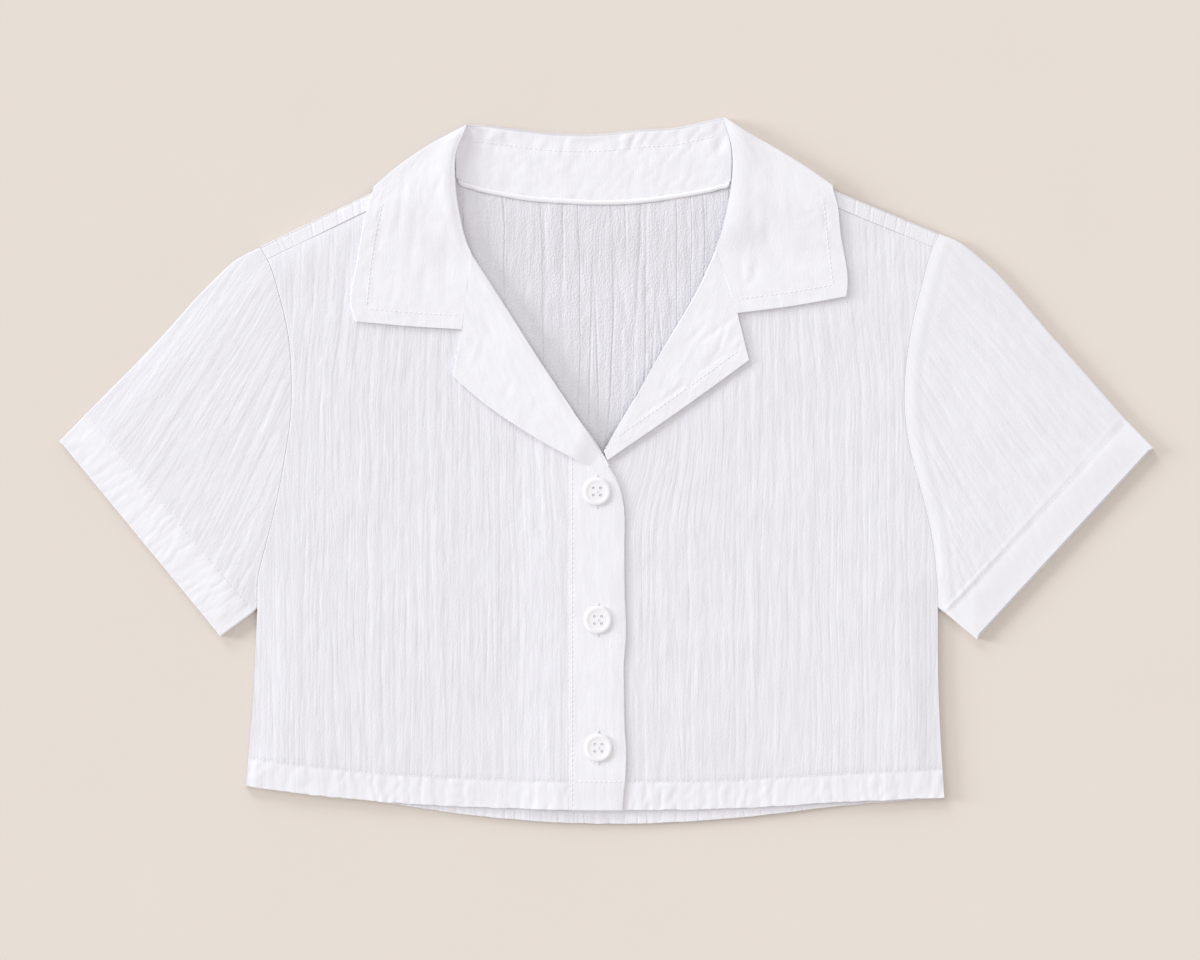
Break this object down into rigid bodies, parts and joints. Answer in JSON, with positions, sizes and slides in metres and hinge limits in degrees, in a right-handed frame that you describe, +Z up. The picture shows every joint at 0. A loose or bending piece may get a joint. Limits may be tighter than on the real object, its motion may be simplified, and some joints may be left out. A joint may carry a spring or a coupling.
{
  "type": "camp-collar crop top",
  "caption": "Short-sleeved crop top in white crinkled cotton gauze with an open camp collar and a buttoned front, lying flat on its back.",
  "frame": {"origin": "middle of the outline, on the surface that the garment lies on", "axes": "+X towards the wearer's left sleeve, +Y from the hem to the collar, +Z up from the surface, out of the front"},
  "size_m": [0.7104, 0.4589, 0.0071],
  "materials": {
    "cloth": "white crinkled cotton gauze",
    "button": "white, satin gloss"
  },
  "bodies": {
    "root": {"back": "cloth", "front_right": "cloth", "front_left": "cloth", "placket": "cloth", "lapel_right": "cloth", "lapel_left": "cloth", "collar_back": "cloth", "collar_leaf_right": "cloth", "collar_leaf_left": "cloth", "neck_tape": "cloth", "sleeve_right": "cloth", "sleeve_left": "cloth", "button_top": "button", "button_middle": "button", "button_bottom": "button"}
  },
  "joints": []
}
